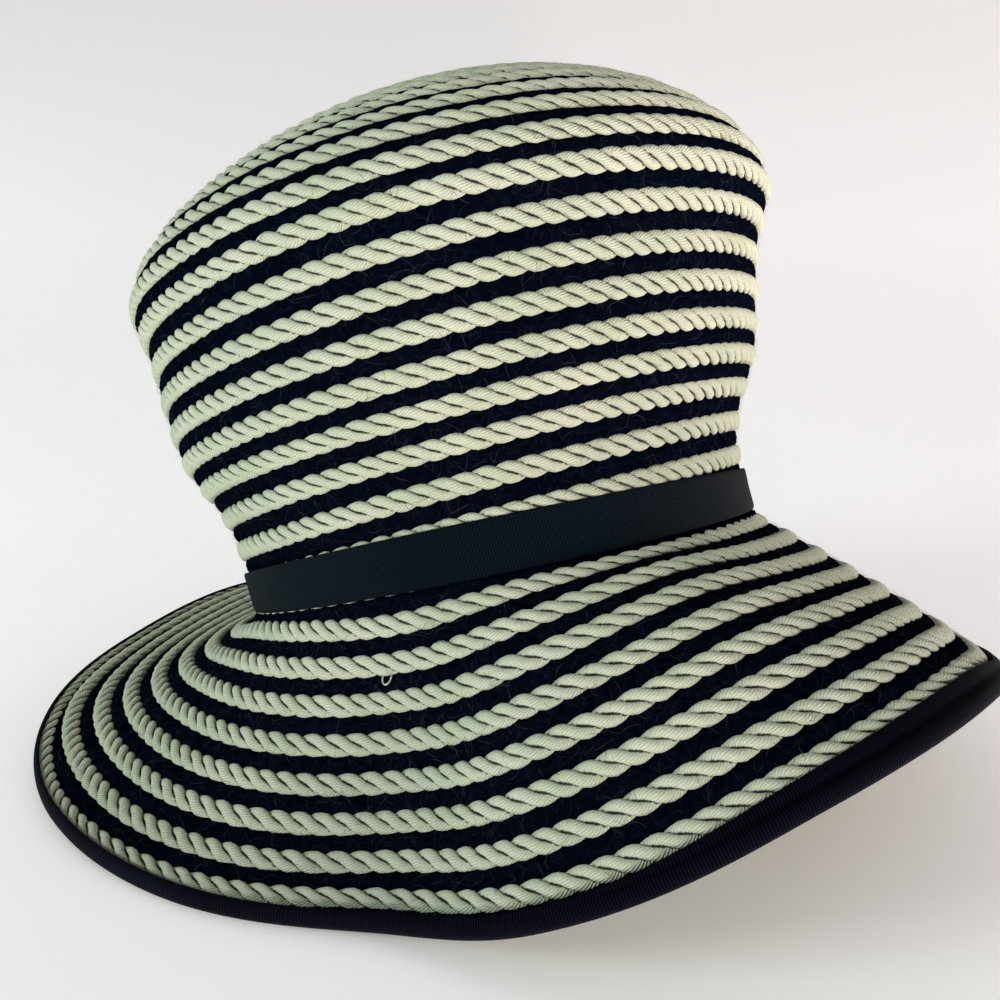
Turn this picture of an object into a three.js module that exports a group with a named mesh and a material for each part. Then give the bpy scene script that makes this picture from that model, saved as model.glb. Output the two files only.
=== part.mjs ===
import * as THREE from 'three';

// Lengths are in millimetres and slopes in degrees. Up is +Z and the front is -Y.
// Directions round the hat are counted from +X, the lifted side, through the front.

// Head opening, measured outside the fold between crown and brim
const OPENING_HALF_WIDTH = 92;
const OPENING_LENGTH_RATIO = 1.12;
// What the length ratio loses from the fold to the tip
const RATIO_LOSS = 0.025;

// Cord rows: one spiral from the middle of the tip to the brim's edge
const CORD_PITCH = 11.4;
const CREAM_SHARE = 0.52;
const ROW_RISE = 1.3;
const WALL = 3;
// Height above the fold of the lowest whole row, at the lifted side
const SPIRAL_START = 18.9;
// How far the hand-laid rows wander from a true spiral, once and twice round the hat, as shares
// of the pitch
const CROWN_DRIFT = { once: 0.245, onceAcross: -0.044, twice: -0.035, twiceAcross: 0.009 };
const BRIM_DRIFT = { once: 0.14, onceAcross: -0.088, twice: -0.158, twiceAcross: -0.158 };

// Crown, measured along its surface from the fold up
const CROWN_SIDE_LENGTH = 160;
const TIP_EASE_LENGTH = 80;
const LEVEL = -90;
// Slope of the crown's middle line toward the lifted side, and what the bend adds by the tip
const AXIS_SLOPE = -0.076;
const AXIS_BEND = 0.158;
// Slant of the side from upright, outward positive
const CROWN_SIDE = [
  { along: 0, slant: -2 },
  { along: 0.14, slant: 7 },
  { along: 0.28, slant: 31 },
  { along: 0.41, slant: 9 },
  { along: 0.55, slant: 8 },
  { along: 0.66, slant: 23 },
  { along: 0.75, slant: -22 },
  { along: 0.86, slant: -46 },
  { along: 1, slant: -58 },
];

// Brim, measured along its surface from the fold out
const BRIM_REACH = 92;
// Fall below the plane of the opening at four places from fold to edge, the reach as a share of
// BRIM_REACH and the ribbon's cover on top as a share of BINDING_WIDTH; rows go evenly round
const BRIM_WAVES = [
  { root: 41, inner: 43, outer: 44, edge: 45, reach: 1.005, cover: 0.8 },
  { root: 39, inner: 40, outer: 44, edge: 49, reach: 1.012, cover: 0.95 },
  { root: 32, inner: 32, outer: 40, edge: 52, reach: 1.024, cover: 1 },
  { root: 16, inner: 41, outer: 56, edge: 57, reach: 1.046, cover: 1 },
  { root: 40, inner: 66, outer: 67, edge: 46, reach: 1.056, cover: 0.9 },
  { root: 81, inner: 85, outer: 58, edge: 23, reach: 1.037, cover: 0.6 },
  { root: 66, inner: 64, outer: 44, edge: 5, reach: 1.012, cover: 0.45 },
  { root: 42, inner: 40, outer: 23, edge: -6, reach: 0.983, cover: 0.45 },
  { root: 19, inner: 17, outer: 10, edge: -2, reach: 0.958, cover: 0.45 },
  { root: 5, inner: 3, outer: 1, edge: -2, reach: 0.965, cover: 0.5 },
  { root: -5, inner: -6, outer: -6, edge: -4, reach: 0.981, cover: 0.6 },
  { root: -3, inner: -3, outer: -2, edge: 1, reach: 0.99, cover: 0.7 },
  { root: 6, inner: 6, outer: 7, edge: 9, reach: 0.994, cover: 0.7 },
  { root: 20, inner: 20, outer: 20, edge: 20, reach: 0.995, cover: 0.7 },
  { root: 31, inner: 32, outer: 33, edge: 34, reach: 0.994, cover: 0.7 },
  { root: 38, inner: 39, outer: 40, edge: 40, reach: 0.996, cover: 0.75 },
];

// Ribbons
const RIBBON_THICKNESS = 0.8;
const PIECE_GAP = 0.35;
const BAND_FOOT = 1.5;
const BAND_WIDTH = 14.2;
// How far the band's two edges wander, as shares of its width
const BAND_FOOT_DRIFT = { once: 0.014, onceAcross: -0.1, twice: -0.014, twiceAcross: 0 };
const BAND_HEAD_DRIFT = { once: 0.05, onceAcross: 0.007, twice: -0.056, twiceAcross: -0.021 };
// Length over which a row rises beside a ribbon's edge
const ROW_EASE = 1.5;
const BINDING_WIDTH = 7;

// Stance on the table
const LEAN = 11.6;
const LEAN_BACK = 13.8;

// Fineness
const CROWN_STEPS = 38;
const BRIM_STEPS = 54;
const PROFILE_STEP = 0.5;
const SLOPE_STEPS = 12;
const NORMAL_STEP = 0.25;
const NORMAL_TURN = 0.01;

const FULL_TURN = 2 * Math.PI;
const WHOLE_WALL = WALL + ROW_RISE;
const BINDING_INSIDE = WALL / 2 + PIECE_GAP;
const BINDING_OUTSIDE = BINDING_INSIDE + RIBBON_THICKNESS;

function radians(degrees) {
  return degrees * Math.PI / 180;
}

function clamp(value, low, high) {
  return Math.min(Math.max(value, low), high);
}

function blend(from, to, share) {
  return from + (to - from) * share;
}

function drift(terms, turn) {
  const once = terms.once * Math.cos(turn) + terms.onceAcross * Math.sin(turn);
  const twice = terms.twice * Math.cos(2 * turn) + terms.twiceAcross * Math.sin(2 * turn);
  return once + twice;
}

// Smooth value of one column of a table whose rows go evenly round the hat
function aroundTable(table, column, turn) {
  const count = table.length;
  const place = ((turn / FULL_TURN) % 1 + 1) % 1 * count;
  const row = Math.floor(place);
  const t = place - row;
  const a = table[(row + count - 1) % count][column];
  const b = table[row % count][column];
  const c = table[(row + 1) % count][column];
  const d = table[(row + 2) % count][column];
  const square = (2 * a - 5 * b + 4 * c - d) * t * t;
  const cube = (3 * b - 3 * c + d - a) * t * t * t;
  return (2 * b + (c - a) * t + square + cube) / 2;
}

function slantAt(along) {
  const last = CROWN_SIDE[CROWN_SIDE.length - 1];
  if (along >= CROWN_SIDE_LENGTH) {
    return blend(last.slant, LEVEL, clamp((along - CROWN_SIDE_LENGTH) / TIP_EASE_LENGTH, 0, 1));
  }
  const share = along / CROWN_SIDE_LENGTH;
  const next = Math.max(1, CROWN_SIDE.findIndex((row) => row.along >= share));
  const from = CROWN_SIDE[next - 1];
  const to = CROWN_SIDE[next];
  return blend(from.slant, to.slant, (share - from.along) / (to.along - from.along));
}

// The crown's half width and height at even steps along its side, up to the middle of the tip
function crownProfile() {
  const stations = [{ half: OPENING_HALF_WIDTH, height: 0 }];
  let along = 0;
  while (stations[stations.length - 1].half > 0) {
    const last = stations[stations.length - 1];
    const here = radians(slantAt(along));
    const next = radians(slantAt(along + PROFILE_STEP));
    stations.push({
      half: last.half + (Math.sin(here) + Math.sin(next)) / 2 * PROFILE_STEP,
      height: last.height + (Math.cos(here) + Math.cos(next)) / 2 * PROFILE_STEP,
    });
    along += PROFILE_STEP;
  }
  return stations;
}

const PROFILE = crownProfile();
const TIP_ALONG = (PROFILE.length - 2) * PROFILE_STEP;
const CROWN_HEIGHT = PROFILE[PROFILE.length - 2].height;

function crownSpot(turn, along) {
  const place = clamp(along, 0, TIP_ALONG) / PROFILE_STEP;
  const index = Math.min(Math.floor(place), PROFILE.length - 3);
  const from = PROFILE[index];
  const to = PROFILE[index + 1];
  const height = blend(from.height, to.height, place - index);
  const half = along >= TIP_ALONG ? 0 : blend(from.half, to.half, place - index);
  const ratio = OPENING_LENGTH_RATIO - RATIO_LOSS * height / CROWN_HEIGHT;
  const shift = height * (AXIS_SLOPE + AXIS_BEND * height / CROWN_HEIGHT);
  return new THREE.Vector3(half * Math.cos(turn) + shift, -half * ratio * Math.sin(turn), height);
}

function brimFall(turn, along) {
  const columns = ['root', 'inner', 'outer', 'edge'];
  const last = columns.length - 1;
  const place = clamp(along / BRIM_REACH * last, 0, last);
  const index = Math.min(Math.floor(place), last - 1);
  const from = aroundTable(BRIM_WAVES, columns[index], turn);
  const to = aroundTable(BRIM_WAVES, columns[index + 1], turn);
  return radians(blend(from, to, place - index));
}

function brimReach(turn) {
  return BRIM_REACH * aroundTable(BRIM_WAVES, 'reach', turn);
}

function brimSpot(turn, along) {
  let out = along;
  let fall = 0;
  if (along > 0) {
    out = 0;
    for (let step = 0; step < SLOPE_STEPS; step += 1) {
      const slope = brimFall(turn, along * (step + 0.5) / SLOPE_STEPS);
      out += Math.cos(slope) * along / SLOPE_STEPS;
      fall += Math.sin(slope) * along / SLOPE_STEPS;
    }
  }
  const away = new THREE.Vector2(Math.cos(turn) * OPENING_LENGTH_RATIO, -Math.sin(turn)).normalize();
  return new THREE.Vector3(
    OPENING_HALF_WIDTH * Math.cos(turn) + out * away.x,
    -OPENING_HALF_WIDTH * OPENING_LENGTH_RATIO * Math.sin(turn) + out * away.y,
    -fall,
  );
}

// Direction out of the surface, up on the brim
function outward(spot, turn, along) {
  const round = spot(turn + NORMAL_TURN, along).sub(spot(turn - NORMAL_TURN, along));
  const up = spot(turn, along + NORMAL_STEP).sub(spot(turn, along - NORMAL_STEP));
  const normal = spot === brimSpot ? round.cross(up) : up.cross(round);
  return normal.normalize();
}

function crownSkin(turn, along, out) {
  if (along >= TIP_ALONG) {
    return crownSpot(turn, TIP_ALONG).add(new THREE.Vector3(0, 0, out));
  }
  const normal = outward(crownSpot, turn, clamp(along, NORMAL_STEP, TIP_ALONG - 2 * NORMAL_STEP));
  // The crown's foot stays flat
  normal.z *= clamp((along - PIECE_GAP) / WHOLE_WALL, 0, 1);
  return crownSpot(turn, along).addScaledVector(normal, out);
}

function brimSkin(turn, along, out) {
  const normal = along > 0 ? outward(brimSpot, turn, along + NORMAL_STEP) : new THREE.Vector3(0, 0, 1);
  return brimSpot(turn, along).addScaledVector(normal, out);
}

function crownRowAlong(turn, row) {
  return SPIRAL_START + CORD_PITCH * (row - turn / FULL_TURN + drift(CROWN_DRIFT, turn));
}

function brimRowAlong(turn, row) {
  return -SPIRAL_START + CORD_PITCH * (row + 1 + turn / FULL_TURN + drift(BRIM_DRIFT, turn));
}

function bandFoot(turn) {
  return BAND_FOOT + BAND_WIDTH * drift(BAND_FOOT_DRIFT, turn);
}

function bandHead(turn) {
  return BAND_FOOT + BAND_WIDTH * (1 + drift(BAND_HEAD_DRIFT, turn));
}

function bindingInner(turn) {
  const cover = BINDING_WIDTH * aroundTable(BRIM_WAVES, 'cover', turn);
  return brimReach(turn) - Math.max(cover, BINDING_OUTSIDE + PIECE_GAP);
}

// Two edges of a cream row and the black one beside it, for every turn that the length holds
function rowStations(length) {
  const stations = [];
  const turns = Math.ceil((length + SPIRAL_START) / CORD_PITCH) + 2;
  for (let row = -turns; row < turns; row += 1) {
    stations.push({ row: row - CREAM_SHARE / 2, raised: 1 });
    stations.push({ row: row + CREAM_SHARE / 2, raised: 1 });
    stations.push({ row: row + 0.5, raised: 0 });
  }
  return stations;
}

// Joins points that lie on the same spot and leaves out faces without area
class Shell {
  constructor() {
    this.points = [];
    this.known = new Map();
    this.faces = [];
  }

  add(point) {
    const name = [point.x, point.y, point.z].map((value) => Math.round(value * 1000) + 0).join(' ');
    if (!this.known.has(name)) {
      this.known.set(name, this.points.length);
      this.points.push(point);
    }
    return this.known.get(name);
  }

  face(a, b, c) {
    if (a !== b && b !== c && c !== a) {
      this.faces.push([a, b, c]);
    }
  }

  // Sheet through rows of points, one row for each direction round the hat
  sheet(rows) {
    const numbers = rows.map((row) => row.map((point) => this.add(point)));
    for (let i = 0; i + 1 < numbers.length; i += 1) {
      for (let j = 0; j + 1 < numbers[i].length; j += 1) {
        const [a, b] = [numbers[i][j], numbers[i + 1][j]];
        const [c, d] = [numbers[i + 1][j + 1], numbers[i][j + 1]];
        this.face(a, b, c);
        this.face(a, c, d);
      }
    }
  }

  geometry() {
    let volume = 0;
    for (const [a, b, c] of this.faces) {
      volume += this.points[a].dot(this.points[b].clone().cross(this.points[c]));
    }
    const faces = volume > 0 ? this.faces : this.faces.map(([a, b, c]) => [a, c, b]);
    const geometry = new THREE.BufferGeometry();
    const numbers = this.points.flatMap((point) => [point.x, point.y, point.z]);
    geometry.setAttribute('position', new THREE.Float32BufferAttribute(numbers, 3));
    geometry.setIndex(faces.flat());
    return geometry;
  }
}

// Closed section swept round the hat: section(turn) gives its points in order
function ringShell(steps, section) {
  const rows = [];
  for (let step = 0; step <= steps; step += 1) {
    const points = section(FULL_TURN * (step % steps) / steps);
    points.push(points[0].clone());
    rows.push(points);
  }
  const shell = new Shell();
  shell.sheet(rows);
  return shell.geometry();
}

function crownGeometry() {
  const stations = rowStations(TIP_ALONG);
  const outer = [];
  const inner = [];
  for (let step = 0; step <= CROWN_STEPS; step += 1) {
    const turn = FULL_TURN * step / CROWN_STEPS;
    const rowsFrom = bandHead(turn) + PIECE_GAP;
    const ribbed = stations.map(({ row, raised }) => {
      const along = clamp(crownRowAlong(turn, row), rowsFrom, TIP_ALONG);
      const atTip = clamp((TIP_ALONG - along) / CORD_PITCH, 0, 1);
      const besideBand = clamp((along - rowsFrom) / ROW_EASE, 0, 1);
      return crownSkin(turn, along, -ROW_RISE * (1 - raised * atTip * besideBand));
    });
    const seat = CROWN_SEAT.map((share) => {
      return crownSkin(turn, blend(PIECE_GAP, rowsFrom, share), -ROW_RISE);
    });
    outer.push([...seat, ...ribbed]);
    inner.push(CROWN_INSIDE.map((share) => {
      const along = blend(PIECE_GAP, TIP_ALONG, share);
      return crownSkin(turn, along, -WHOLE_WALL);
    }));
  }
  const shell = new Shell();
  shell.sheet(outer);
  shell.sheet(inner.map((row) => row.slice().reverse()));
  shell.sheet(outer.map((row, step) => [inner[step][0], row[0]]));
  return shell.geometry();
}

// Shares of the way up to the rows, for the smooth seat of the band
const CROWN_SEAT = [0, 0.5];

// Shares of the way from the fold to the middle of the tip, for the smooth inside
const CROWN_INSIDE = [0, 0.09, 0.18, 0.27, 0.36, 0.42, 0.48, 0.56, 0.66, 0.78, 0.9, 1];

function brimGeometry() {
  const stations = rowStations(BRIM_REACH);
  const half = WALL / 2;
  const rows = [];
  for (let step = 0; step <= BRIM_STEPS; step += 1) {
    const turn = FULL_TURN * step / BRIM_STEPS;
    const edge = brimReach(turn) - PIECE_GAP - RIBBON_THICKNESS;
    const rowsTo = bindingInner(turn) - PIECE_GAP;
    const top = stations.map(({ row, raised }) => {
      const along = clamp(brimRowAlong(turn, row), -WHOLE_WALL, rowsTo);
      const besideBinding = clamp((rowsTo - along) / ROW_EASE, 0, 1);
      const depth = ROW_RISE * (1 - raised * besideBinding);
      return brimSkin(turn, along, -Math.min(depth, Math.max(along, 0)));
    });
    top.push(brimSkin(turn, edge - half, -ROW_RISE));
    const round = [45, 90, 135].map((degrees) => {
      const along = edge - half + half * Math.sin(radians(degrees));
      return brimSkin(turn, along, -ROW_RISE - half + half * Math.cos(radians(degrees)));
    });
    const under = BRIM_UNDER.map((share) => {
      return brimSkin(turn, blend(edge - half, WHOLE_WALL, share), -WHOLE_WALL);
    });
    const corner = brimSkin(turn, -WHOLE_WALL, -WHOLE_WALL);
    rows.push([...top, ...round, ...under, corner, top[0].clone()]);
  }
  const shell = new Shell();
  shell.sheet(rows);
  return shell.geometry();
}

// Shares of the way from the edge back to the fold, for the smooth underside
const BRIM_UNDER = [0, 0.12, 0.3, 0.5, 0.68, 0.84, 1];

function bandGeometry() {
  return ringShell(CROWN_STEPS, (turn) => {
    const foot = bandFoot(turn);
    const head = bandHead(turn) - PIECE_GAP;
    const low = PIECE_GAP - ROW_RISE;
    const high = low + RIBBON_THICKNESS;
    const middle = blend(foot, head, 0.5);
    return [
      crownSkin(turn, foot, low),
      crownSkin(turn, foot, high),
      crownSkin(turn, middle, high),
      crownSkin(turn, head, high),
      crownSkin(turn, head, low),
      crownSkin(turn, middle, low),
    ];
  });
}

function bindingGeometry() {
  const middle = -ROW_RISE - WALL / 2;
  return ringShell(BRIM_STEPS, (turn) => {
    const centre = brimReach(turn) - BINDING_OUTSIDE;
    const inner = bindingInner(turn);
    const under = Math.min(centre - PIECE_GAP, brimReach(turn) - BINDING_WIDTH);
    const arc = (radius) => [0, 45, 90, 135, 180].map((degrees) => {
      const along = centre + radius * Math.sin(radians(degrees));
      return brimSkin(turn, along, middle + radius * Math.cos(radians(degrees)));
    });
    return [
      brimSkin(turn, inner, middle + BINDING_OUTSIDE),
      ...arc(BINDING_OUTSIDE),
      brimSkin(turn, under, middle - BINDING_OUTSIDE),
      brimSkin(turn, under, middle - BINDING_INSIDE),
      ...arc(BINDING_INSIDE).reverse(),
      brimSkin(turn, inner, middle + BINDING_INSIDE),
    ];
  });
}

function fabric(colour, roughness) {
  return new THREE.MeshStandardMaterial({ color: colour, roughness, metalness: 0 });
}

const CREAM = 0xc9c7b0;
const BLACK = 0x14161d;

const pieces = [
  { name: 'crown', geometry: crownGeometry(), material: fabric(CREAM, 0.95) },
  { name: 'brim', geometry: brimGeometry(), material: fabric(CREAM, 0.95) },
  { name: 'hat_band', geometry: bandGeometry(), material: fabric(BLACK, 0.7) },
  { name: 'brim_binding', geometry: bindingGeometry(), material: fabric(BLACK, 0.7) },
];

const group = new THREE.Group();
group.name = 'wide_brim_hat';
const bounds = new THREE.Box3();
for (const piece of pieces) {
  // The hat leans to the side that lies low, then back, as it stands by itself
  piece.geometry.rotateY(-radians(LEAN));
  piece.geometry.rotateX(-radians(LEAN_BACK));
  piece.geometry.computeBoundingBox();
  bounds.union(piece.geometry.boundingBox);
}
const centre = bounds.getCenter(new THREE.Vector3());
for (const piece of pieces) {
  piece.geometry.translate(-centre.x, -centre.y, -bounds.min.z);
  piece.geometry.computeVertexNormals();
  const mesh = new THREE.Mesh(piece.geometry, piece.material);
  mesh.name = piece.name;
  group.add(mesh);
}

export default group;
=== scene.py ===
import math

import bpy
import numpy as np
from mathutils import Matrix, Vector


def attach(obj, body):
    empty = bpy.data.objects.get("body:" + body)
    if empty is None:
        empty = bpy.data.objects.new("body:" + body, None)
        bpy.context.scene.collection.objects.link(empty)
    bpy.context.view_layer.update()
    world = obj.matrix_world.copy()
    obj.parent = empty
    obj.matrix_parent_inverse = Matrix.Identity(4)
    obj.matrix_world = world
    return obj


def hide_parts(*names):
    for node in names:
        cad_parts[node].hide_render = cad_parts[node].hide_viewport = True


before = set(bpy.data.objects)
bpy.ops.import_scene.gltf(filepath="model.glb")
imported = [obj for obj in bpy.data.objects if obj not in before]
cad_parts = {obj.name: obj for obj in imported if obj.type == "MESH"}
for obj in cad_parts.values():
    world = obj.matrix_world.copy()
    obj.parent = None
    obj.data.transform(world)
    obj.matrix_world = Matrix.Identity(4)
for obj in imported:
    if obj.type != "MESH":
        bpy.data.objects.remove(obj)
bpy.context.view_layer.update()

TAU = 2 * math.pi

# The hat's shape, in millimetres and degrees, as the part states it
OPENING_HALF = 92.0
LENGTH_RATIO = 1.12
RATIO_LOSS = 0.025
CORD_PITCH = 11.4
SPIRAL_START = 18.9
CROWN_DRIFT = (0.245, -0.044, -0.035, 0.009)
BRIM_DRIFT = (0.14, -0.088, -0.158, -0.158)
SIDE_LENGTH = 160.0
TIP_EASE = 80.0
AXIS_SLOPE = -0.076
AXIS_BEND = 0.158
CROWN_SIDE = np.array([
    (0.00, -2), (0.14, 7), (0.28, 31), (0.41, 9), (0.55, 8),
    (0.66, 23), (0.75, -22), (0.86, -46), (1.00, -58)], float)
BRIM_REACH = 92.0
# Slopes at root, inner, outer and edge, reach, and the ribbon's cover, evenly round the hat
BRIM_WAVES = np.array([
    (41, 43, 44, 45, 1.005, 0.80),
    (39, 40, 44, 49, 1.012, 0.95),
    (32, 32, 40, 52, 1.024, 1.00),
    (16, 41, 56, 57, 1.046, 1.00),
    (40, 66, 67, 46, 1.056, 0.90),
    (81, 85, 58, 23, 1.037, 0.60),
    (66, 64, 44, 5, 1.012, 0.45),
    (42, 40, 23, -6, 0.983, 0.45),
    (19, 17, 10, -2, 0.958, 0.45),
    (5, 3, 1, -2, 0.965, 0.50),
    (-5, -6, -6, -4, 0.981, 0.60),
    (-3, -3, -2, 1, 0.990, 0.70),
    (6, 6, 7, 9, 0.994, 0.70),
    (20, 20, 20, 20, 0.995, 0.70),
    (31, 32, 33, 34, 0.994, 0.70),
    (38, 39, 40, 40, 0.996, 0.75)], float)
BAND_FOOT = 1.5
BAND_WIDTH = 14.2
BAND_FOOT_DRIFT = (0.014, -0.1, -0.014, 0)
BAND_HEAD_DRIFT = (0.05, 0.007, -0.056, -0.021)
BINDING_WIDTH = 7.0
LEAN = 11.6
LEAN_BACK = 13.8
# From the middle of the opening to the part's own origin
PLACE = np.array([1.606, -7.733, 61.62])

# How the photo's rows stray from even ones, evenly round the hat, in pitches:
# near the fold, near the edge
ROW_STRAY = np.array([
    (0.00, 0.00), (-0.05, -0.05), (-0.12, -0.07), (-0.16, 0.00),
    (-0.22, -0.10), (0.00, -0.30), (-0.18, -0.24), (-0.18, -0.08),
    (0.45, 0.20), (0.28, 0.10), (0.00, 0.00), (0.00, 0.00),
    (0.00, 0.00), (0.00, 0.00), (0.00, 0.00), (0.00, 0.00)], float)
# Evenly round the hat: the ribbon's cover in the photo, and how far its edge lies inside the brim's
BINDING_COVER = np.array([
    2.3, 5.0, 10.0, 9.0, 5.6, 2.9, 2.2, 2.2,
    2.2, 2.8, 4.2, 4.9, 4.9, 4.9, 4.6, 3.2])
EDGE_SLACK = np.array([
    0.0, 0.0, 0.0, 0.2, 0.8, 1.5, 1.3, 0.6,
    0.6, 0.3, 0.0, 0.0, 0.0, 0.0, 0.0, 0.0])

# Cord: each strand's way off the middle, across and up, and its half width and thickness
STRAND_OFF = 1.92
STRAND_HALF = 1.68
STRAND_RISE = 1.10
STRAND_THICK = 1.30
# How flat the strands lie on the cord's top before they turn down its sides
STRAND_FLAT = 1.8
CORD_HALF_WIDTH = STRAND_OFF + STRAND_HALF
CORD_DEPTH = STRAND_RISE + STRAND_THICK
HELIX_PITCH = 20.2
# How much a strand hurries over the cord's flat faces and dwells at its sides
STRAND_HURRY = 0.17
STRAND_STEPS = 14
STRAND_SIDES = 8
# Yarns along a strand, how many a line passes on its way round, and a strand's length
# for each length of cord
YARN_SPACING = 0.98
YARN_LEAD = 8
STRAND_SLANT = 1.13
# A cord's free end comes to a point over this length
END_TAPER = 2.0
# How the outermost turn of cord thins out along the edge, by its winding, and its gap to the edge
EDGE_TURN = np.array([(9.20, 1.00), (9.40, 0.86), (9.47, 0.76), (9.60, 0.70), (9.75, 0.20)])
EDGE_GAP = 0.9
# How far the other turns run on under the ribbon
UNDER_RIBBON = 3.0
# Where the cord crosses the fold under the band, by its winding, and how deep it goes there
FOLD_WIND = -1.66
CROSS_START, CROSS_LENGTH = -1.72, 0.12
FOLD_DEPTH, FOLD_WIDTH = 2.2, 0.07
TIP_CLEAR = 1.2

# Wool: its inner side, how low it lies under the cord and how far it swells between the rows,
# and half the swell's width and its slope's, in pitches
WOOL_INSIDE = 3.5
WOOL_LOW, WOOL_SWELL = -2.9, 1.7
SWELL_HALF, SWELL_SLOPE = 0.30, 0.16

# Binding: its rolled edge, and the dip between strip and roll where the ribbon is wide enough
ROLL_SHARE, ROLL_LEAST, ROLL_MOST = 0.55, 1.3, 3.0
ROLL_MIDDLE, ROLL_TALL = -2.45, 2.88
DIP_FROM, DIP_SPAN = 5.5, 2.5
DIP_DEPTH, RIM_SWELL = 0.9, 0.25


def ring(column, turn):
    count = len(column)
    place = turn / TAU % 1 * count
    row = np.floor(place).astype(int) % count
    t = place - np.floor(place)
    a, b = column[(row - 1) % count], column[row]
    c, d = column[(row + 1) % count], column[(row + 2) % count]
    square = (2 * a - 5 * b + 4 * c - d) * t * t
    cube = (3 * b - 3 * c + d - a) * t ** 3
    return (2 * b + (c - a) * t + square + cube) / 2


def drift(terms, turn):
    once = terms[0] * np.cos(turn) + terms[1] * np.sin(turn)
    return once + terms[2] * np.cos(2 * turn) + terms[3] * np.sin(2 * turn)


def crown_profile():
    step = 0.5
    along = np.arange(0, 300, step)
    slant = np.interp(along, CROWN_SIDE[:, 0] * SIDE_LENGTH, CROWN_SIDE[:, 1])
    past = np.clip((along - SIDE_LENGTH) / TIP_EASE, 0, 1)
    last = CROWN_SIDE[-1, 1]
    slant = np.radians(np.where(past > 0, last + (-90 - last) * past, slant))
    half = OPENING_HALF + np.append(0, np.cumsum(np.sin(slant[1:]) + np.sin(slant[:-1]))) * step / 2
    height = np.append(0, np.cumsum(np.cos(slant[1:]) + np.cos(slant[:-1]))) * step / 2
    end = int(np.argmax(half <= 0))
    return along[:end], half[:end], height[:end]


PROFILE_ALONG, PROFILE_HALF, PROFILE_HEIGHT = crown_profile()
TIP_ALONG = PROFILE_ALONG[-1]
CROWN_HEIGHT = PROFILE_HEIGHT[-1]


def crown_spot(turn, along):
    turn, along = np.broadcast_arrays(turn, along)
    height = np.interp(along, PROFILE_ALONG, PROFILE_HEIGHT)
    half = np.interp(along, PROFILE_ALONG, PROFILE_HALF)
    half = np.where(along >= TIP_ALONG, 0, half)
    ratio = LENGTH_RATIO - RATIO_LOSS * height / CROWN_HEIGHT
    shift = height * (AXIS_SLOPE + AXIS_BEND * height / CROWN_HEIGHT)
    return np.stack([half * np.cos(turn) + shift, -half * ratio * np.sin(turn), height], -1)


def brim_reach(turn):
    return BRIM_REACH * ring(BRIM_WAVES[:, 4], turn)


def brim_spot(turn, along):
    turn, along = np.broadcast_arrays(turn, along)
    columns = np.stack([ring(BRIM_WAVES[:, k], turn) for k in range(4)], -1)
    out = np.where(along > 0, 0.0, along)
    fall = np.zeros(along.shape)
    steps = 12
    for step in range(steps):
        place = np.clip(along * (step + 0.5) / steps / BRIM_REACH * 3, 0, 3)
        index = np.clip(np.floor(place).astype(int), 0, 2)
        a = np.take_along_axis(columns, index[..., None], -1)[..., 0]
        b = np.take_along_axis(columns, index[..., None] + 1, -1)[..., 0]
        slope = np.radians(a + (b - a) * (place - index))
        share = np.clip(along, 0, None) / steps
        out = out + np.cos(slope) * share
        fall = fall + np.sin(slope) * share
    away = np.stack([np.cos(turn) * LENGTH_RATIO, -np.sin(turn)], -1)
    away = away / np.linalg.norm(away, axis=-1, keepdims=True)
    x = OPENING_HALF * np.cos(turn) + out * away[..., 0]
    y = -OPENING_HALF * LENGTH_RATIO * np.sin(turn) + out * away[..., 1]
    return np.stack([x, y, -fall], -1)


def stand(points):
    lean, back = math.radians(LEAN), math.radians(LEAN_BACK)
    x, y, z = points[..., 0], points[..., 1], points[..., 2]
    x, z = x * math.cos(lean) - z * math.sin(lean), x * math.sin(lean) + z * math.cos(lean)
    y, z = y * math.cos(back) + z * math.sin(back), z * math.cos(back) - y * math.sin(back)
    return np.stack([x, y, z], -1)


def unit(vectors):
    return vectors / np.maximum(np.linalg.norm(vectors, axis=-1, keepdims=True), 1e-9)


class Skin:
    """A surface kept as a fine grid of points and normals, read between the grid's lines."""

    def __init__(self, spot, low, high, flip):
        self.low, self.step, self.turns = low, 0.5, 1200
        along = low + self.step * np.arange(int(math.ceil((high - low) / self.step)) + 1)
        turn = TAU * np.arange(self.turns)[:, None] / self.turns
        self.points = spot(turn, along[None])
        up = np.gradient(self.points, axis=1)
        round_ = np.roll(self.points, -1, 0) - np.roll(self.points, 1, 0)
        normals = np.cross(round_, up) if flip else np.cross(up, round_)
        if not flip:
            weak = along > TIP_ALONG - 1.5
            normals[:, weak] = (normals[:, ~weak])[:, -1:, :]
        self.normals = unit(normals)
        self.count = len(along)

    def at(self, turn, along, out=0.0):
        turn, along, out = np.broadcast_arrays(turn, along, out)
        u = turn / TAU % 1 * self.turns
        v = np.clip((along - self.low) / self.step, 0, self.count - 1.001)
        i, j = np.floor(u).astype(int) % self.turns, np.floor(v).astype(int)
        p, q = (u - np.floor(u))[..., None], (v - j)[..., None]
        k = (i + 1) % self.turns

        def read(grid):
            low = grid[i, j] * (1 - p) + grid[k, j] * p
            high = grid[i, j + 1] * (1 - p) + grid[k, j + 1] * p
            return low * (1 - q) + high * q

        normal = unit(read(self.normals))
        return read(self.points) + normal * out[..., None], normal


CROWN = Skin(crown_spot, 0, TIP_ALONG, False)
BRIM = Skin(brim_spot, -8, 104, True)


def crown_row_along(turn, wind):
    return SPIRAL_START + CORD_PITCH * (wind + drift(CROWN_DRIFT, turn))


def row_stray(turn, along):
    share = np.clip(along / BRIM_REACH, 0, 1)
    near, far = ring(ROW_STRAY[:, 0], turn), ring(ROW_STRAY[:, 1], turn)
    return near + (far - near) * share


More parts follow.
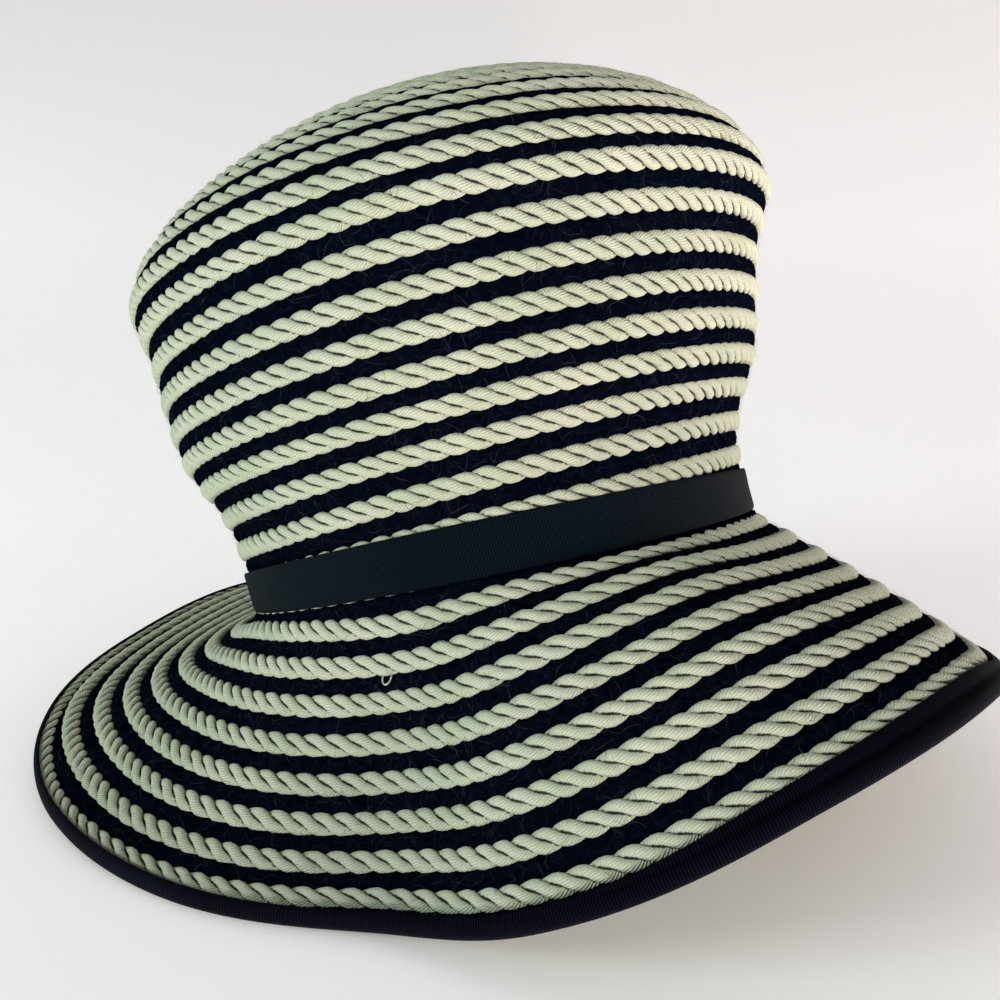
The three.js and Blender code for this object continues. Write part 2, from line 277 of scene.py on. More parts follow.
def brim_row_along(turn, wind):
    along = -SPIRAL_START + CORD_PITCH * (drift(BRIM_DRIFT, turn) - wind)
    return along + CORD_PITCH * row_stray(turn, along)


def band_foot(turn):
    return BAND_FOOT + BAND_WIDTH * drift(BAND_FOOT_DRIFT, turn)


def band_head(turn):
    return BAND_FOOT + BAND_WIDTH * (1 + drift(BAND_HEAD_DRIFT, turn))


def edge_reach(turn):
    return brim_reach(turn) - ring(EDGE_SLACK, turn)


def binding_inner(turn):
    return edge_reach(turn) - ring(BINDING_COVER, turn)


def metres(points):
    return (stand(points) + PLACE) / 1000


def mesh_piece(name, points, quads, material, uv=None, replaced=()):
    """Makes one piece from points in millimetres, not yet stood up, and its four-sided faces."""
    mesh = bpy.data.meshes.new(name)
    points = metres(np.asarray(points, float).reshape(-1, 3))
    quads = np.asarray(quads, np.int32).reshape(-1, 4)
    mesh.vertices.add(len(points))
    mesh.vertices.foreach_set("co", points.astype(np.float32).ravel())
    mesh.loops.add(quads.size)
    mesh.loops.foreach_set("vertex_index", quads.ravel())
    mesh.polygons.add(len(quads))
    mesh.polygons.foreach_set("loop_start", np.arange(len(quads), dtype=np.int32) * 4)
    mesh.update(calc_edges=True)
    if uv is not None:
        layer = mesh.uv_layers.new(name="lay")
        layer.data.foreach_set("uv", np.asarray(uv, np.float32).ravel())
    mesh.validate()
    mesh.shade_smooth()
    mesh.materials.append(material)
    piece = bpy.data.objects.new(name, mesh)
    bpy.context.collection.objects.link(piece)
    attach(piece, "root")
    if replaced:
        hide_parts(*replaced)
    return piece


def grid_quads(rows, columns, start=0, close_rows=False, close_columns=False):
    """Faces of a grid of points, row after row, closed round either way."""
    i = np.arange(rows if close_rows else rows - 1)[:, None]
    j = np.arange(columns if close_columns else columns - 1)[None]
    a = i * columns + j
    b = ((i + 1) % rows) * columns + j
    c = ((i + 1) % rows) * columns + (j + 1) % columns
    d = i * columns + (j + 1) % columns
    return np.stack([a, b, c, d], -1).reshape(-1, 4) + start


def grid_uv(u, v):
    """UV of the faces of a grid, from values at its lines, one more than the faces in each way."""
    def corner(di, dj):
        rows, columns = u.shape[0] - 1, u.shape[1] - 1
        return np.stack([u[di:rows + di, dj:columns + dj], v[di:rows + di, dj:columns + dj]], -1)
    return np.stack([corner(0, 0), corner(1, 0), corner(1, 1), corner(0, 1)], 2).reshape(-1, 2)


# Materials

def new_material(name, roughness, specular, sheen=0.0, sheen_tint=None):
    material = bpy.data.materials.new(name)
    material.use_nodes = True
    nodes, links = material.node_tree.nodes, material.node_tree.links
    shader = nodes["Principled BSDF"]
    shader.inputs["Roughness"].default_value = roughness
    shader.inputs["Specular IOR Level"].default_value = specular
    shader.inputs["Sheen Weight"].default_value = sheen
    shader.inputs["Sheen Roughness"].default_value = 0.5
    if sheen_tint:
        shader.inputs["Sheen Tint"].default_value = (*sheen_tint, 1)
    return material, nodes, links, shader


def noise(nodes, links, vector, scale, detail=3.0, roughness=0.5):
    node = nodes.new("ShaderNodeTexNoise")
    node.inputs["Scale"].default_value = scale
    node.inputs["Detail"].default_value = detail
    node.inputs["Roughness"].default_value = roughness
    links.new(vector, node.inputs["Vector"])
    return node.outputs["Fac"]


def ramp(nodes, links, value, stops):
    node = nodes.new("ShaderNodeValToRGB")
    band = node.color_ramp
    while len(band.elements) < len(stops):
        band.elements.new(0.5)
    for element, (place, colour) in zip(band.elements, stops):
        element.position = place
        element.color = (*colour, 1)
    links.new(value, node.inputs["Fac"])
    return node.outputs["Color"]


def maths(nodes, links, operation, first, second=None, clamp=False):
    node = nodes.new("ShaderNodeMath")
    node.operation = operation
    node.use_clamp = clamp
    for socket, value in zip(node.inputs, (first, second)):
        if value is None:
            continue
        if isinstance(value, (int, float)):
            socket.default_value = value
        else:
            links.new(value, socket)
    return node.outputs[0]


def mix(nodes, links, share, first, second, blend="MIX"):
    node = nodes.new("ShaderNodeMix")
    node.data_type = "RGBA"
    node.blend_type = blend
    sockets = [s for s in node.inputs if s.type == "RGBA"]
    values = ((node.inputs["Factor"], share), (sockets[0], first), (sockets[1], second))
    for socket, value in values:
        if isinstance(value, (int, float)):
            socket.default_value = value
        elif isinstance(value, tuple):
            socket.default_value = (*value, 1)
        else:
            links.new(value, socket)
    return [s for s in node.outputs if s.type == "RGBA"][0]


def bump(nodes, links, height, distance, strength=1.0, normal=None):
    node = nodes.new("ShaderNodeBump")
    node.inputs["Strength"].default_value = strength
    node.inputs["Distance"].default_value = distance
    links.new(height, node.inputs["Height"])
    if normal is not None:
        links.new(normal, node.inputs["Normal"])
    return node.outputs["Normal"]


def lay_values(nodes, links):
    """The two values of the piece's own layout, and the place in the hat's frame."""
    uv = nodes.new("ShaderNodeUVMap")
    uv.uv_map = "lay"
    split = nodes.new("ShaderNodeSeparateXYZ")
    links.new(uv.outputs["UV"], split.inputs[0])
    place = nodes.new("ShaderNodeTexCoord").outputs["Object"]
    return split.outputs[0], split.outputs[1], place


def ridges(nodes, links, count, wander, loose):
    """A wave from 0 to 1 for each whole count, which wanders a little."""
    line = maths(nodes, links, "ADD", count, maths(nodes, links, "MULTIPLY", wander, loose))
    wave = maths(nodes, links, "SINE", maths(nodes, links, "MULTIPLY", line, TAU))
    wave = maths(nodes, links, "MULTIPLY_ADD", wave, 0.5)
    wave.node.inputs[2].default_value = 0.5
    return wave


def cord_material():
    material, nodes, links, shader = new_material("cord_yarn", 0.88, 0.25, 0.25, (1.0, 0.97, 0.88))
    count, openness, place = lay_values(nodes, links)
    wave = ridges(nodes, links, count, noise(nodes, links, place, 900, 2), 0.5)
    rounded = maths(nodes, links, "POWER", wave, 0.6)
    tone = noise(nodes, links, place, 14, 2)
    cool = noise(nodes, links, place, 45, 3)
    base = ramp(nodes, links, tone, [
        (0.3, (0.66, 0.71, 0.59)), (0.55, (0.74, 0.775, 0.64)), (0.8, (0.80, 0.81, 0.67))])
    spots = ramp(nodes, links, cool, [(0.35, (0.88, 0.92, 0.86)), (0.6, (1.0, 1.0, 1.0))])
    base = mix(nodes, links, 1.0, base, spots, "MULTIPLY")
    # Painted shade: the grooves between the yarns are painted darker
    yarn_groove_shade = ramp(nodes, links, rounded, [
        (0.0, (0.72, 0.70, 0.62)), (0.45, (0.95, 0.945, 0.93)), (1.0, (1.0, 1.0, 1.0))])
    base = mix(nodes, links, 1.0, base, yarn_groove_shade, "MULTIPLY")
    # Painted shade: the gaps between the strands, where the strands shade each other, are painted
    # dark
    strand_gap_shade = ramp(nodes, links, openness, [
        (0.0, (0.004, 0.004, 0.004)), (0.22, (0.10, 0.095, 0.08)), (0.4, (1.0, 1.0, 1.0))])
    base = mix(nodes, links, 1.0, base, strand_gap_shade, "MULTIPLY")
    fine = noise(nodes, links, place, 2600, 2)
    flecks = ramp(nodes, links, fine, [(0.3, (0.86, 0.86, 0.84)), (0.7, (1.0, 1.0, 1.0))])
    base = mix(nodes, links, 1.0, base, flecks, "MULTIPLY")
    links.new(base, shader.inputs["Base Color"])
    first = bump(nodes, links, rounded, 0.00017)
    links.new(bump(nodes, links, fine, 0.00012, 0.6, first), shader.inputs["Normal"])
    return material


def wool_material():
    material, nodes, links, shader = new_material("black_wool", 1.0, 0.0)
    place = nodes.new("ShaderNodeTexCoord").outputs["Object"]
    tufts = noise(nodes, links, place, 420, 4, 0.7)
    fine = noise(nodes, links, place, 1900, 3, 0.7)
    base = ramp(nodes, links, tufts, [
        (0.3, (0.0009, 0.0020, 0.0048)), (0.55, (0.0016, 0.0034, 0.0078)),
        (0.8, (0.0078, 0.0120, 0.0220))])
    light = ramp(nodes, links, fine, [(0.4, (0.6, 0.6, 0.65)), (0.75, (1.8, 1.8, 2.1))])
    base = mix(nodes, links, 1.0, base, light, "MULTIPLY")
    links.new(base, shader.inputs["Base Color"])
    first = bump(nodes, links, tufts, 0.0012)
    links.new(bump(nodes, links, fine, 0.0004, 0.8, first), shader.inputs["Normal"])
    return material


def hair_material(name, colour):
    material, nodes, links, shader = new_material(name, 0.8, 0.05)
    place = nodes.new("ShaderNodeTexCoord").outputs["Object"]
    tone = noise(nodes, links, place, 300, 2)
    low = tuple(0.45 * c for c in colour)
    base = ramp(nodes, links, tone, [(0.35, low), (0.7, colour)])
    links.new(base, shader.inputs["Base Color"])
    return material


def ribbon_material(name, dark, pale, specular, between):
    """A ribbed ribbon, painted darker between its ribs as shade and brighter on them as a
    highlight; `between` is how bright the painted shade leaves it between its ribs.
    """
    material, nodes, links, shader = new_material(name, 0.75, specular)
    count, _, place = lay_values(nodes, links)
    wave = ridges(nodes, links, count, noise(nodes, links, place, 160, 2), 0.25)
    tone = noise(nodes, links, place, 25, 3)
    fine = noise(nodes, links, place, 2500, 2)
    base = ramp(nodes, links, tone, [(0.3, dark), (0.7, pale)])
    # Painted shade between the ribs and a painted highlight on them
    ribs = ramp(nodes, links, wave, [
        (0.0, (between,) * 3), (0.5, (0.9, 0.9, 0.9)), (1.0, (1.7, 1.75, 1.8))])
    base = mix(nodes, links, 1.0, base, ribs, "MULTIPLY")
    links.new(base, shader.inputs["Base Color"])
    first = bump(nodes, links, wave, 0.00035)
    links.new(bump(nodes, links, fine, 0.00008, 0.5, first), shader.inputs["Normal"])
    return material


# Cord: one path from under the binding, in to the fold, and up to the middle of the tip

def cord_path():
    """The cord's middle line, its own depth below the surface, with its windings and normals."""
    lowest = -(BRIM_REACH * 1.07 + SPIRAL_START) / CORD_PITCH - 1
    highest = (TIP_ALONG - SPIRAL_START) / CORD_PITCH + 1
    wind = np.arange(lowest, highest, 1 / 720)
    turn = -TAU * wind
    on_crown = crown_row_along(turn, wind)
    on_brim = brim_row_along(turn, wind)
    slim = np.interp(-wind, EDGE_TURN[:, 0], EDGE_TURN[:, 1])
    hugging = edge_reach(turn) - CORD_HALF_WIDTH * slim - EDGE_GAP
    place = np.where(wind < -EDGE_TURN[0, 0], np.minimum(on_brim, hugging), on_brim)
    crown_point, crown_normal = CROWN.at(turn, np.clip(on_crown, 0.2, TIP_ALONG - 0.3))
    brim_point, brim_normal = BRIM.at(turn, np.clip(place, 0.2, None))
    share = np.clip((wind - CROSS_START) / CROSS_LENGTH, 0, 1)[:, None]
    point = brim_point * (1 - share) + crown_point * share
    normal = unit(brim_normal * (1 - share) + crown_normal * share)
    keep = (wind > FOLD_WIND) | (on_brim < binding_inner(turn) + UNDER_RIBBON)
    keep |= (wind < -EDGE_TURN[0, 0]) & (wind > -EDGE_TURN[-1, 0])
    # The last turn closes up on the middle of the tip
    keep &= on_crown < TIP_ALONG - TIP_CLEAR
    deep = FOLD_DEPTH * np.exp(-((wind - FOLD_WIND) / FOLD_WIDTH) ** 2)
    return wind, point - normal * (CORD_DEPTH * slim + deep)[:, None], normal, keep, slim


def strand_runs(low, high):
    """Stretches of the path between two windings, each with an even step along the cord."""
    wind, point, normal, keep, slim = PATH
    inside = (wind >= low) & (wind < high) & keep
    edges = np.flatnonzero(np.diff(np.concatenate([[0], inside.astype(int), [0]])))
    step = HELIX_PITCH / STRAND_STEPS
    for start, end in edges.reshape(-1, 2):
        # A run goes on to the next one's first point where the pieces meet
        end = min(end, len(wind) - 1)
        if LENGTHS[end] - LENGTHS[start] < 4:
            continue
        count = max(3, int(round((LENGTHS[end] - LENGTHS[start]) / step)))
        length = np.linspace(LENGTHS[start], LENGTHS[end], count + 1)
        p = np.stack([np.interp(length, LENGTHS, point[:, k]) for k in range(3)], -1)
        n = unit(np.stack([np.interp(length, LENGTHS, normal[:, k]) for k in range(3)], -1))
        free_start = start == 0 or not keep[start - 1]
        free_end = not keep[end]
        taper = np.interp(length, LENGTHS, slim)
        if free_start:
            taper = taper * np.minimum(1, (length - length[0]) / END_TAPER + 0.05)
        if free_end:
            taper = taper * np.minimum(1, (length[-1] - length) / END_TAPER + 0.05)
        yield length, p, n, taper


def strand_spot(phase):
    """A strand's middle line across and up in the cord, both in millimetres."""
    up = np.tanh(STRAND_FLAT * np.sin(phase)) / math.tanh(STRAND_FLAT)
    return STRAND_OFF * np.cos(phase), STRAND_RISE * up


def dot(first, second):
    return (first * second).sum(-1)


def cord_piece(name, low, high, material):
    """Three strands, tubes about their own middle lines, between two windings of the path."""
    points, quads, uvs, start = [], [], [], 0
    side = np.arange(STRAND_SIDES + 1) * TAU / STRAND_SIDES
    for length, p, n, taper in strand_runs(low, high):
        forward = unit(np.gradient(p, axis=0))
        n = unit(n - forward * (n * forward).sum(-1, keepdims=True))
        across = np.cross(forward, n)
        wobble = 0.25 * np.sin(length / 37.0) + 0.2 * np.sin(length / 13.7 + 1.3)
        phases = [-(TAU * length / HELIX_PITCH + wobble) + TAU * strand / 3 for strand in range(3)]
        phases = [phase - STRAND_HURRY * np.sin(2 * phase) for phase in phases]
        rows = len(length)
        for strand in range(3):
            swell = (1 + 0.035 * np.sin(length / 5.3 + strand * 2.1)
                     + 0.03 * np.sin(length / 17.0 + strand))
            b, h = strand_spot(phases[strand])
            middle = p + across * (b * taper)[:, None] + n * (h * taper)[:, None]
            heading = unit(np.gradient(middle, axis=0))
            wide = unit(np.cross(heading, n))
            tall = np.cross(wide, heading)
            size = (swell * taper)[:, None, None]
            circle = (wide[:, None] * (STRAND_HALF * np.cos(side))[:, None]
                      + tall[:, None] * (STRAND_THICK * np.sin(side))[:, None])
            ring_points = middle[:, None] + circle * size
            points.append(ring_points[:, :-1].reshape(-1, 3))
            quads.append(grid_quads(rows, STRAND_SIDES, start, close_columns=True))
            around = np.broadcast_to(side / TAU, (rows, STRAND_SIDES + 1))
            run = np.broadcast_to(length[:, None] * STRAND_SLANT / YARN_SPACING, around.shape)
            # How far each point stands off from the strands beside it, so that painted shade
            # darkens the gaps
            away = (ring_points - p[:, None]) / np.maximum(taper, 0.1)[:, None, None]
            off_b, off_h = dot(away, across[:, None]), dot(away, n[:, None])
            ahead = dot(away, forward[:, None])
            open_ = np.full(around.shape, 9.0)
            for other in (phases[strand - 1], phases[strand - 2]):
                other_b, other_h = strand_spot(other[:, None] - TAU / HELIX_PITCH * ahead)
                far_b = (off_b - other_b) * 0.84 / STRAND_HALF
                far_h = (off_h - other_h) / STRAND_THICK
                open_ = np.minimum(open_, np.hypot(far_b, far_h))
            open_ = np.clip((open_ - 1.0) / 0.9, 0, 1)
            uvs.append(grid_uv(run - YARN_LEAD * around + strand * 0.37, open_))
            start += rows * STRAND_SIDES
    return mesh_piece(name, np.concatenate(points), np.concatenate(quads), material,
                      np.concatenate(uvs))


PATH = cord_path()
LENGTHS = np.append(0, np.cumsum(np.linalg.norm(np.diff(PATH[1], axis=0), axis=-1)))

CORD = cord_material()
WOOL = wool_material()
RIBBON = ribbon_material(
    "ribbon", (0.0019, 0.0056, 0.0108), (0.0036, 0.0088, 0.0152), 0.06, 0.25)
BINDING = ribbon_material(
    "binding_ribbon", (0.0016, 0.0022, 0.0065), (0.0036, 0.0044, 0.0125), 0.035, 0.05)
HAIR_DARK = hair_material("wool_hair", (0.017, 0.022, 0.038))
HAIR_PALE = hair_material("wool_hair_pale", (0.07, 0.08, 0.10))

# The cord's pieces, each from where the one before ends to its own last winding
piece_start = PATH[0][0]
for name, piece_end, slot in (
        ("brim_cord_outer", -5.2, "brim"), ("brim_cord_inner", FOLD_WIND, "brim"),
        ("crown_cord_lower", 4.6, "crown"), ("crown_cord_side", 10.6, "crown"),
        ("crown_cord_tip", PATH[0][-1], "crown")):
    cord_piece(name, piece_start, piece_end, CORD)
    piece_start = piece_end


def thread_loop(turn, along, size, radius):
    """A loose loop of yarn that hangs out of the cord on the brim's front."""
    steps, sides = 18, 6
    angle = np.linspace(-0.25, math.pi + 0.25, steps)
    reach = along + size * np.sin(angle)
    slide = turn - size * np.cos(angle) / 130
    middle, normal = BRIM.at(slide, reach, -1.1 + 1.3 * np.sin(angle))
    forward = unit(np.gradient(middle, axis=0))
    wide = np.cross(forward, normal)
    side = np.arange(sides) * TAU / sides
    points = (middle[:, None] + wide[:, None] * (radius * np.cos(side))[:, None]
              + normal[:, None] * (radius * np.sin(side))[:, None])
    count = np.repeat(np.arange(steps)[:, None] * 0.5, sides + 1, 1)
    return mesh_piece("loose_yarn", points, grid_quads(steps, sides, 0, close_columns=True), CORD,
                      grid_uv(count, np.ones(count.shape)))


thread_loop(math.radians(115.25), 22.8, 2.0, 0.28)


# Wool: a shell that swells up between the cord's rows

def wool_rise(place):
    """Height of the wool at a place counted in rows: low under the cord, full between rows."""
    off = np.abs(place % 1 - 0.5)
    return WOOL_LOW + WOOL_SWELL * np.clip((SWELL_HALF - off) / SWELL_SLOPE, 0, 1) ** 0.6


def crown_wool():
    turns = 300
    turn = TAU * np.arange(turns) / turns
    along = np.append(np.arange(0, TIP_ALONG - 1, CORD_PITCH / 6), TIP_ALONG - 0.4)
    t, a = np.meshgrid(turn, along, indexing="ij")
    row = (a - SPIRAL_START) / CORD_PITCH - drift(CROWN_DRIFT, t) + t / TAU
    out = wool_rise(row)
    # The wool fills the crease under the band
    out = np.where(a < 15, np.maximum(out, -1.3 - 0.1 * a), out)
    lumps = 0.12 * np.sin(t * 61 + a * 0.7) + 0.1 * np.sin(t * 97 - a * 1.3 + 1)
    outer = CROWN.at(t, a, out + lumps)[0]
    t, a = np.meshgrid(turn, np.linspace(TIP_ALONG - 0.4, 0, 34), indexing="ij")
    return np.concatenate([outer, CROWN.at(t, a, -WOOL_INSIDE)[0]], 1), turns


def brim_wool():
    turns = 360
    turn = TAU * np.arange(turns) / turns
    share = np.linspace(0, 1, 52)
    reach = edge_reach(turn) - 1.6
    t = np.repeat(turn[:, None], len(share), 1)
    a = -WOOL_INSIDE + (reach[:, None] + WOOL_INSIDE) * share[None]
    row = (a + SPIRAL_START) / CORD_PITCH - drift(BRIM_DRIFT, t) - t / TAU - row_stray(t, a)
    out = wool_rise(row)
    # The wool fills the crease under the band
    out = np.maximum(out, 0.3 - 0.7 * np.clip(a, 0, None))
    lumps = 0.12 * np.sin(t * 83 + a * 0.7) + 0.1 * np.sin(t * 127 - a * 1.3 + 1)
    outer = BRIM.at(t, a, out + lumps)[0]
    share = np.linspace(1, 0, 22)
    t = np.repeat(turn[:, None], len(share), 1)
    a = -WOOL_INSIDE + (reach[:, None] + WOOL_INSIDE) * share[None]
    return np.concatenate([outer, BRIM.at(t, a, -WOOL_INSIDE)[0]], 1), turns


for name, made in (("crown", crown_wool()), ("brim", brim_wool())):
    points, turns = made
    quads = grid_quads(turns, points.shape[1], 0, close_rows=True, close_columns=True)
    mesh_piece(name + "_wool", points, quads, WOOL, replaced=(name,))


# Ribbons

def ribbon_piece(name, turns, section, ribs, material):
    """A closed section swept round the hat, with its ribs counted round the hat."""
    turn = TAU * np.arange(turns) / turns
    points = section(turn)
    columns = points.shape[1]
    quads = grid_quads(turns, columns, 0, close_rows=True, close_columns=True)
    u = np.repeat((np.arange(turns + 1) * ribs / turns)[:, None], columns + 1, 1)
    v = np.repeat(np.arange(columns + 1)[None] / columns, turns + 1, 0)
    return mesh_piece(name, points, quads, material, grid_uv(u, v), (name,))


def band_section(turn):
    foot, head = band_foot(turn), band_head(turn)
    share = np.array([0, 0.06, 0.3, 0.55, 0.8, 0.94, 1.0])
    top = np.array([0.15, 0.55, 0.62, 0.58, 0.6, 0.55, 0.15])
    columns = [(foot + (head - foot) * s, h) for s, h in zip(share, top)]
    columns += [(foot + (head - foot) * s, -0.25) for s in share[::-1]]
    return np.stack([CROWN.at(turn, a, h)[0] for a, h in columns], 1)


def binding_section(turn):
    """A ribbed strip, a smooth dip where it is wide enough, and the rolled edge."""
    reach, inner = edge_reach(turn), binding_inner(turn)
    cover = reach - inner
    roll = np.clip(ROLL_SHARE * cover, ROLL_LEAST, ROLL_MOST)
    centre = reach - roll
    wide = np.clip((cover - DIP_FROM) / DIP_SPAN, 0, 1)
    dip, rim = DIP_DEPTH * wide, RIM_SWELL * wide
    points = []
    for share, height, low in (
            (0.0, 0.1, 0), (0.08, 0.5, 0), (0.3, 0.62, 0), (0.48, 0.55, 0.1),
            (0.58, 0.5, 1.0), (0.74, 0.5, 1.0), (0.86, 0.55, -0.1), (1.0, 0.55, -0.4)):
        points.append(BRIM.at(turn, inner + (centre - inner) * share, height - dip * low)[0])
    for degrees in (20, 40, 60, 80, 100, 120, 150, 180):
        angle = math.radians(degrees)
        out = centre + (roll + rim) * math.sin(angle)
        high = ROLL_MIDDLE + (ROLL_TALL + rim) * math.cos(angle)
        points.append(BRIM.at(turn, out, high)[0])
    under = np.minimum(centre - 0.5, reach - BINDING_WIDTH)
    points.append(BRIM.at(turn, under, -5.2)[0])
    points.append(BRIM.at(turn, under, -4.7)[0])
    for degrees in (180, 135, 90, 45, 0):
        angle = math.radians(degrees)
        out = centre + (roll - 0.8) * math.sin(angle)
        points.append(BRIM.at(turn, out, ROLL_MIDDLE + 2.2 * math.cos(angle))[0])
    points.append(BRIM.at(turn, inner + 0.2, -0.9)[0])
    return np.stack(points, 1)


ribbon_piece("hat_band", 480, band_section, 690, RIBBON)
ribbon_piece("brim_binding", 480, binding_section, 1230, BINDING)


# Loose hairs of the wool, thin flat strips

def hair_piece(name, count, seed, material, length_range, width, lift):
    """Curved hairs that stand off the wool between the rows."""
    random = np.random.default_rng(seed)
    segments = 4
    on_crown = random.random(count) < 0.6
    turn = random.random(count) * TAU
    # This draw has no use of its own; without it the hairs after it would all move
    random.random(count)
    crown_row = np.floor(random.random(count) * 21) + 0.5 + random.normal(0, 0.16, count)
    crown_along = crown_row_along(turn, crown_row - turn / TAU)
    brim_row = np.floor(random.random(count) * 10) + 0.5 + random.normal(0, 0.16, count)
    brim_along = brim_row_along(turn, -brim_row - turn / TAU)
    reach = binding_inner(turn) - 1
    good = np.where(on_crown, (crown_along > 17) & (crown_along < TIP_ALONG - 3),
                    (brim_along > 1) & (brim_along < reach))
    turn, on_crown = turn[good], on_crown[good]
    along = np.where(on_crown, crown_along[good], brim_along[good])
    count = len(turn)
    length = random.uniform(*length_range, count)
    heading = random.random(count) * TAU
    bend = random.normal(0, 0.6, count)
    high = random.uniform(0.2, 1, count) * lift
    base_point, base_normal = CROWN.at(turn, along, -1.0)
    other_point, other_normal = BRIM.at(turn, along, -1.0)
    base_point = np.where(on_crown[:, None], base_point, other_point)
    base_normal = np.where(on_crown[:, None], base_normal, other_normal)
    side = unit(np.cross(base_normal, random.normal(0, 1, (count, 3))))
    fore = np.cross(base_normal, side)
    rows = []
    for step in range(segments + 1):
        share = step / segments
        angle = heading + bend * (share - 0.5)
        way = side * np.cos(angle)[:, None] + fore * np.sin(angle)[:, None]
        rise = high * math.sin(math.pi * min(share, 0.75)) * 1.2
        off = way * (length * (share - 0.5))[:, None]
        rows.append(base_point + off + base_normal * rise[:, None])
    rows = np.stack(rows, 1)
    fore_step = unit(np.gradient(rows, axis=1))
    edge = np.cross(fore_step, base_normal[:, None]) * width
    taper = np.array([0.5, 1, 1, 0.9, 0.3])[None, :, None]
    points = np.stack([rows - edge * taper, rows + edge * taper], 2)
    quads = grid_quads(segments + 1, 2)
    quads = (quads[None] + (np.arange(count) * (segments + 1) * 2)[:, None, None]).reshape(-1, 4)
    return mesh_piece(name, points, quads, material)


hair_piece("dark_hairs", 15000, 7, HAIR_DARK, (2.5, 6.5), 0.04, 0.9)
hair_piece("pale_hairs", 2600, 11, HAIR_PALE, (3.0, 9.0), 0.035, 1.6)


# Floor, light and camera

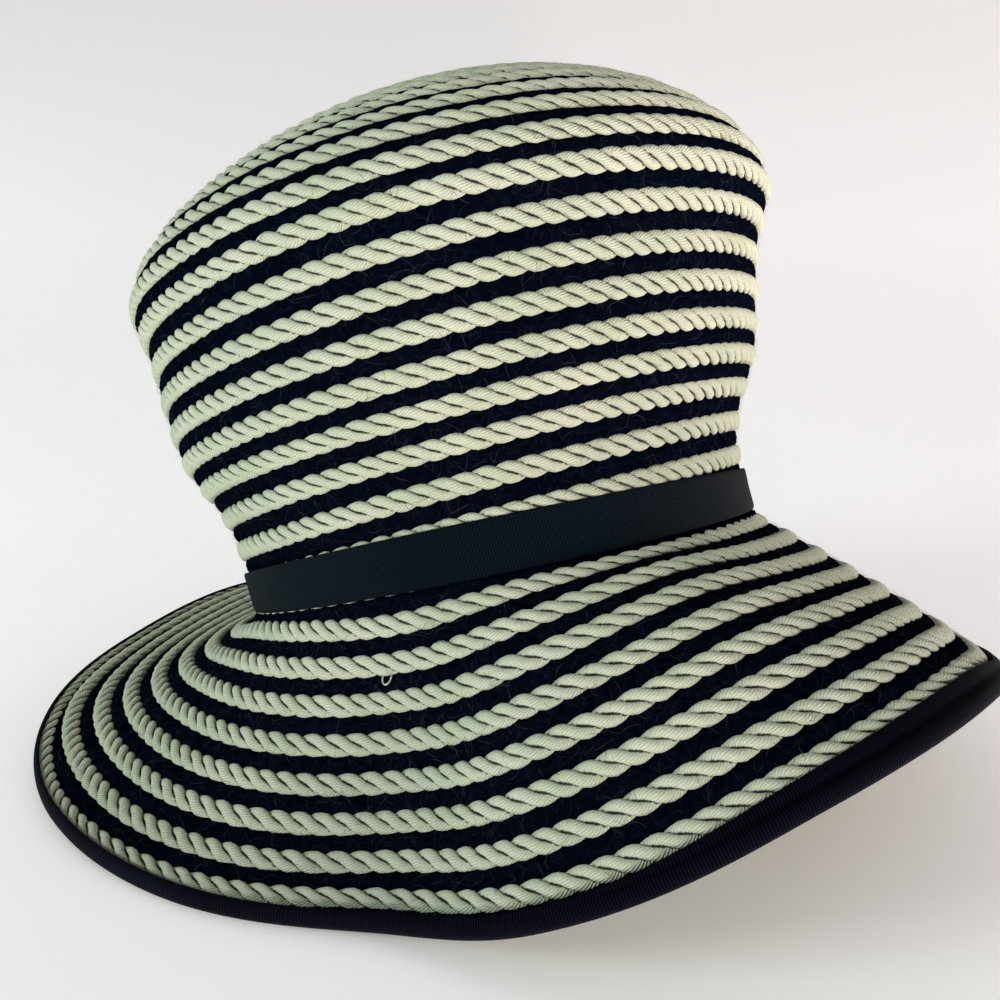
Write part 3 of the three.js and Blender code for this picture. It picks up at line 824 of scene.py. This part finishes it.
def stage_floor():
    """A floor that curves up into a wall far behind the hat."""
    points, faces = [], []
    profile = [(-5.0, 0.0), (2.2, 0.0)]
    for angle in np.radians(np.arange(6, 91, 6)):
        profile.append((2.2 + 1.6 * math.sin(angle), 1.6 - 1.6 * math.cos(angle)))
    profile += [(3.8, 6.0)]
    for y, z in profile:
        points += [(-7.0, y, z), (7.0, y, z)]
    for k in range(len(profile) - 1):
        faces.append((2 * k, 2 * k + 1, 2 * k + 3, 2 * k + 2))
    mesh = bpy.data.meshes.new("floor")
    mesh.from_pydata(points, [], faces)
    mesh.shade_smooth()
    material, nodes, links, shader = new_material("floor", 0.95, 0.0)
    shader.inputs["Base Color"].default_value = (0.86, 0.838, 0.835, 1)
    # A bright table that glows though it is no lamp: its glow on the hat is stronger and warmer at
    # the right, and its look is near even but for painted light, painted falloff and painted shadow
    place = nodes.new("ShaderNodeTexCoord").outputs["Object"]
    split = nodes.new("ShaderNodeSeparateXYZ")
    links.new(place, split.inputs[0])
    right = maths(nodes, links, "MULTIPLY", split.outputs[0], 0.8)
    right = maths(nodes, links, "ADD", right, 0.5, True)
    back = maths(nodes, links, "MULTIPLY", split.outputs[1], 0.5)
    back = maths(nodes, links, "ADD", back, 0.5, True)
    high = maths(nodes, links, "MULTIPLY", split.outputs[2], 1.0, True)
    lit = ramp(nodes, links, right, [
        (0.1, (0.36, 0.41, 0.38)), (0.5, (0.84, 0.82, 0.75)), (0.9, (3.4, 2.9, 2.65))])
    front = ramp(nodes, links, back, [(0.75, (1.0, 1.0, 1.0)), (0.95, (0.0, 0.0, 0.0))])
    lit = mix(nodes, links, 1.0, lit, front, "MULTIPLY")
    look = ramp(nodes, links, back, [
        (0.35, (0.53, 0.515, 0.525)), (0.7, (0.51, 0.505, 0.512)), (0.95, (0.505, 0.502, 0.508))])
    # Painted falloff: the wall's look is darker higher up
    fall = ramp(nodes, links, high, [(0.2, (1.0, 1.0, 1.0)), (0.9, (0.72, 0.72, 0.725))])
    # Painted light: the table's look is brighter and warmer at the right
    tint = ramp(nodes, links, right, [(0.5, (1.0, 1.0, 1.0)), (0.72, (1.15, 1.12, 1.12))])
    look = mix(nodes, links, 1.0, mix(nodes, links, 1.0, look, fall, "MULTIPLY"), tint, "MULTIPLY")
    # A painted shadow darkens the table's look near the hat, which would keep the light off it, and
    # more broadly so at the right, where the brim is lifted
    near = nodes.new("ShaderNodeAmbientOcclusion")
    near.samples = 1
    near.inputs["Distance"].default_value = 0.30
    broad_painted_shadow = ramp(nodes, links, near.outputs["AO"], [
        (0.22, (0.28, 0.235, 0.22)), (0.78, (1.0, 1.0, 1.0))])
    narrow_painted_shadow = ramp(nodes, links, near.outputs["AO"], [
        (0.10, (0.30, 0.275, 0.26)), (0.45, (1.0, 1.0, 1.0))])
    lifted = ramp(nodes, links, right, [(0.50, (0.0, 0.0, 0.0)), (0.60, (1.0, 1.0, 1.0))])
    shade = mix(nodes, links, lifted, narrow_painted_shadow, broad_painted_shadow)
    look = mix(nodes, links, 1.0, look, shade, "MULTIPLY")
    seen = nodes.new("ShaderNodeLightPath").outputs["Is Camera Ray"]
    links.new(mix(nodes, links, seen, lit, look), shader.inputs["Emission Color"])
    shader.inputs["Emission Strength"].default_value = 1.0
    mesh.materials.append(material)
    floor = bpy.data.objects.new("floor", mesh)
    bpy.context.collection.objects.link(floor)


def area_light(name, place, target, size, power, colour=(1, 1, 1)):
    data = bpy.data.lights.new(name, "AREA")
    data.shape = "RECTANGLE"
    data.size, data.size_y = size
    data.energy = power
    data.color = colour
    light = bpy.data.objects.new(name, data)
    light.visible_camera = False
    light.location = place
    light.rotation_euler = (Vector(target) - Vector(place)).to_track_quat("-Z", "Y").to_euler()
    bpy.context.collection.objects.link(light)


stage_floor()
world = bpy.data.worlds.new("studio")
world.use_nodes = True
sky, sky_links = world.node_tree.nodes, world.node_tree.links
sky["Background"].inputs["Color"].default_value = (1.0, 1.0, 1.0, 1)
sky_seen = sky.new("ShaderNodeLightPath").outputs["Is Camera Ray"]
sky_glow = maths(sky, sky_links, "MULTIPLY", sky_seen, 0.70)
sky_links.new(maths(sky, sky_links, "ADD", sky_glow, 0.10), sky["Background"].inputs["Strength"])
bpy.context.scene.world = world
area_light("key", (1.25, -2.5, 0.22), (0, 0, 0.14), (1.2, 0.35), 25, (1.0, 0.96, 0.93))
area_light("fill", (-1.8, -0.8, 0.75), (-0.1, -0.1, 0.02), (0.9, 0.6), 22, (0.86, 1.0, 0.92))
area_light("back_right", (3.2, 2.2, 1.6), (0, 0, 0.1), (1.6, 1.2), 13, (1.0, 0.97, 0.93))
area_light("back_left", (-3.2, 2.2, 1.6), (0, 0, 0.1), (1.6, 1.2), 24, (0.95, 1.0, 0.96))

camera = bpy.data.objects.new("camera", bpy.data.cameras.new("camera"))
camera.data.lens = 40.875
camera.data.sensor_width = 36
camera.data.clip_start = 0.01
camera.location = (-0.00073, -0.41545, 0.17922)
camera.rotation_euler = (math.radians(90 - 13.105), 0, math.radians(-0.06))
bpy.context.collection.objects.link(camera)
bpy.context.scene.camera = camera
bpy.context.scene.view_settings.view_transform = "Standard"

bpy.context.view_layer.update()
